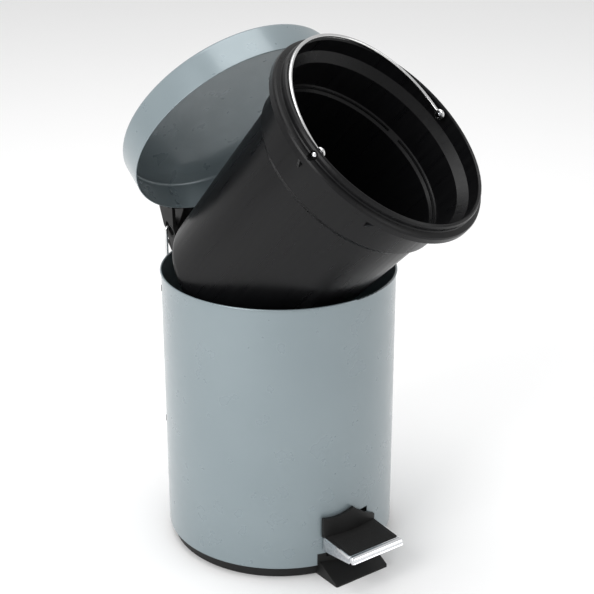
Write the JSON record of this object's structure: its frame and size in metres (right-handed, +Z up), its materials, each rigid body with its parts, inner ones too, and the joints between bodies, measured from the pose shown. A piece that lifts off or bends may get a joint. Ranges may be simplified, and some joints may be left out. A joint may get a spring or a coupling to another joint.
{
  "type": "pedal trash can",
  "caption": "Round pedal-operated bin with a hinged domed lid, a push-rod linkage and a lift-out inner bucket with a wire handle.",
  "frame": {"origin": "on the shell's axis at floor level, in the middle of the base's flat underside", "axes": "+Z up along the shell's axis; the pedal points to -Y and the lid's hinge is at +Y; X is the hinge pin's direction"},
  "size_m": [0.2312, 0.3202, 0.4635],
  "materials": {
    "painted_steel": "semi-gloss blue-grey paint on steel sheet",
    "black_base_plastic": "moulded black plastic, fine texture",
    "black_rubber": "soft matte rubber",
    "grip_rubber": "textured tread rubber",
    "zinc_steel": "zinc plated pressed steel",
    "bright_chrome": "polished chrome plate",
    "bright_wire": "drawn bright steel wire",
    "hinge_plastic": "moulded black plastic",
    "nylon": "natural nylon",
    "bucket_plastic": "satin black polypropylene"
  },
  "bodies": {
    "can_body": {"body_shell": "painted_steel", "base_pan": "black_base_plastic", "grip_ring": "black_rubber", "pivot_bracket": "zinc_steel", "bracket_rivets": "zinc_steel", "pedal_pin": "bright_wire", "pin_clips": "zinc_steel", "rod_guide_lower": "hinge_plastic", "rod_guide_upper": "hinge_plastic", "guide_rivets": "zinc_steel", "hinge_housing": "hinge_plastic", "housing_screws": "zinc_steel", "hinge_pin": "bright_wire"},
    "pedal": {"pedal_lever": "zinc_steel", "lever_bush": "nylon", "pedal_tread": "bright_chrome", "pedal_grip": "grip_rubber", "pedal_guard": "black_base_plastic", "tread_rivets": "zinc_steel"},
    "push_rod_body": {"push_rod": "bright_wire", "rod_sleeve": "nylon"},
    "lid": {"lid_shell": "painted_steel", "lid_bracket": "hinge_plastic", "lid_rivets": "painted_steel"},
    "bucket_body": {"bucket": "bucket_plastic", "bail_rivets": "bright_chrome"},
    "bail": {"bail_handle": "bright_wire"}
  },
  "joints": [
    {"name": "lid_hinge", "type": "hinge", "parent": "can_body", "child": "lid", "pos_m": [0, 0.1314, 0.2606], "axis": [-1, 0, 0], "range_deg": [0, 36.3]},
    {"name": "pedal_press", "type": "hinge", "parent": "can_body", "child": "pedal", "pos_m": [0, -0.01, 0.02], "axis": [1, 0, 0], "range_deg": [0, 4.18]},
    {"name": "rod_lift", "type": "slide", "parent": "can_body", "child": "push_rod_body", "axis": [0, 0, 1], "range_m": [0, 0.00902]},
    {"name": "bucket_swing", "type": "hinge", "parent": "can_body", "child": "bucket_body", "pos_m": [0.07302, -0.21008, 0.18756], "axis": [-0.9393, -0.3375, -0.0618], "range_deg": [-30, 41.28]},
    {"name": "bail_swing", "type": "hinge", "parent": "bucket_body", "child": "bail", "pos_m": [0.02865, -0.10302, 0.39284], "axis": [0.9506, 0.3064, -0.0494], "range_deg": [0, 169.4]}
  ],
  "couplings": [
    {"joint": "pedal_press", "follows": "lid_hinge", "ratio": 0.11465},
    {"joint": "rod_lift", "follows": "lid_hinge", "m_per_rad": 0.014206}
  ]
}
